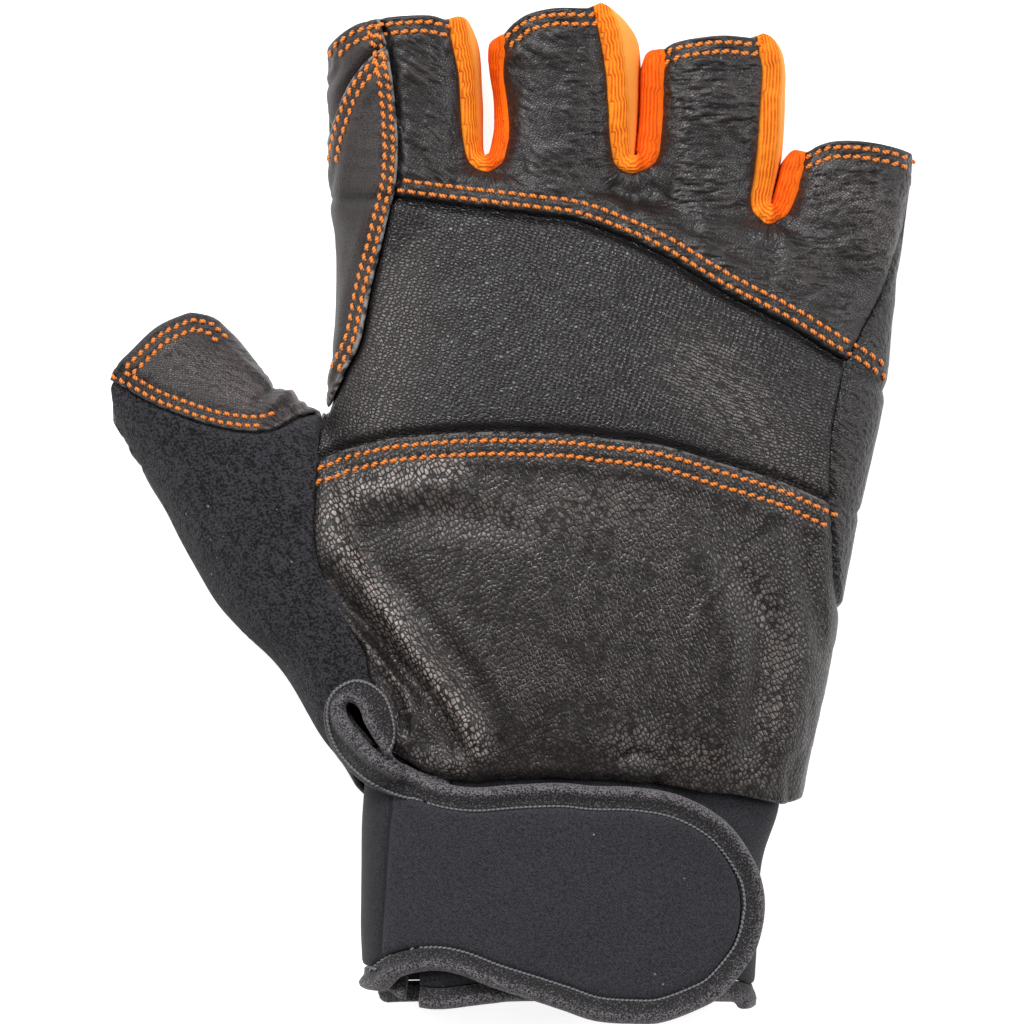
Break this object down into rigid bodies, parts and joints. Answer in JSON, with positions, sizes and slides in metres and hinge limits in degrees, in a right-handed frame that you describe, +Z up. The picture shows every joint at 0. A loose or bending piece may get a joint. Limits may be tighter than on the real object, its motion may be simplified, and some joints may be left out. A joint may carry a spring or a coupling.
{
  "type": "climbing glove",
  "caption": "Padded leather half-finger glove with knit finger gussets, a fabric-backed thumb and a neoprene cuff closed by a round-ended strap, lying palm down.",
  "frame": {"origin": "centre of the glove's outline, on the surface it lies on", "axes": "+X towards the little finger, +Y towards the fingertips, +Z up out of the back of the hand"},
  "size_m": [0.1575, 0.198, 0.0314],
  "materials": {
    "leather": "black pebbled goatskin with a soft sheen",
    "gusset_knit": "bright orange stretch knit",
    "thumb_fabric": "black brushed terry",
    "neoprene": "charcoal jersey-faced neoprene, matt",
    "binding_tape": "dark ribbed binding tape"
  },
  "bodies": {
    "root": {"back_finger_panel": "leather", "back_knuckle_panel": "leather", "back_wrist_panel": "leather", "index_side_panel": "leather", "index_tip_patch": "leather", "gusset_index_middle": "gusset_knit", "gusset_middle_ring": "gusset_knit", "gusset_ring_little": "gusset_knit", "palm_panel": "leather", "thumb_back": "thumb_fabric", "thumb_grip": "leather", "cuff_band": "neoprene", "cuff_binding": "binding_tape", "strap": "neoprene", "strap_binding": "binding_tape", "slit_binding": "binding_tape"}
  },
  "joints": []
}
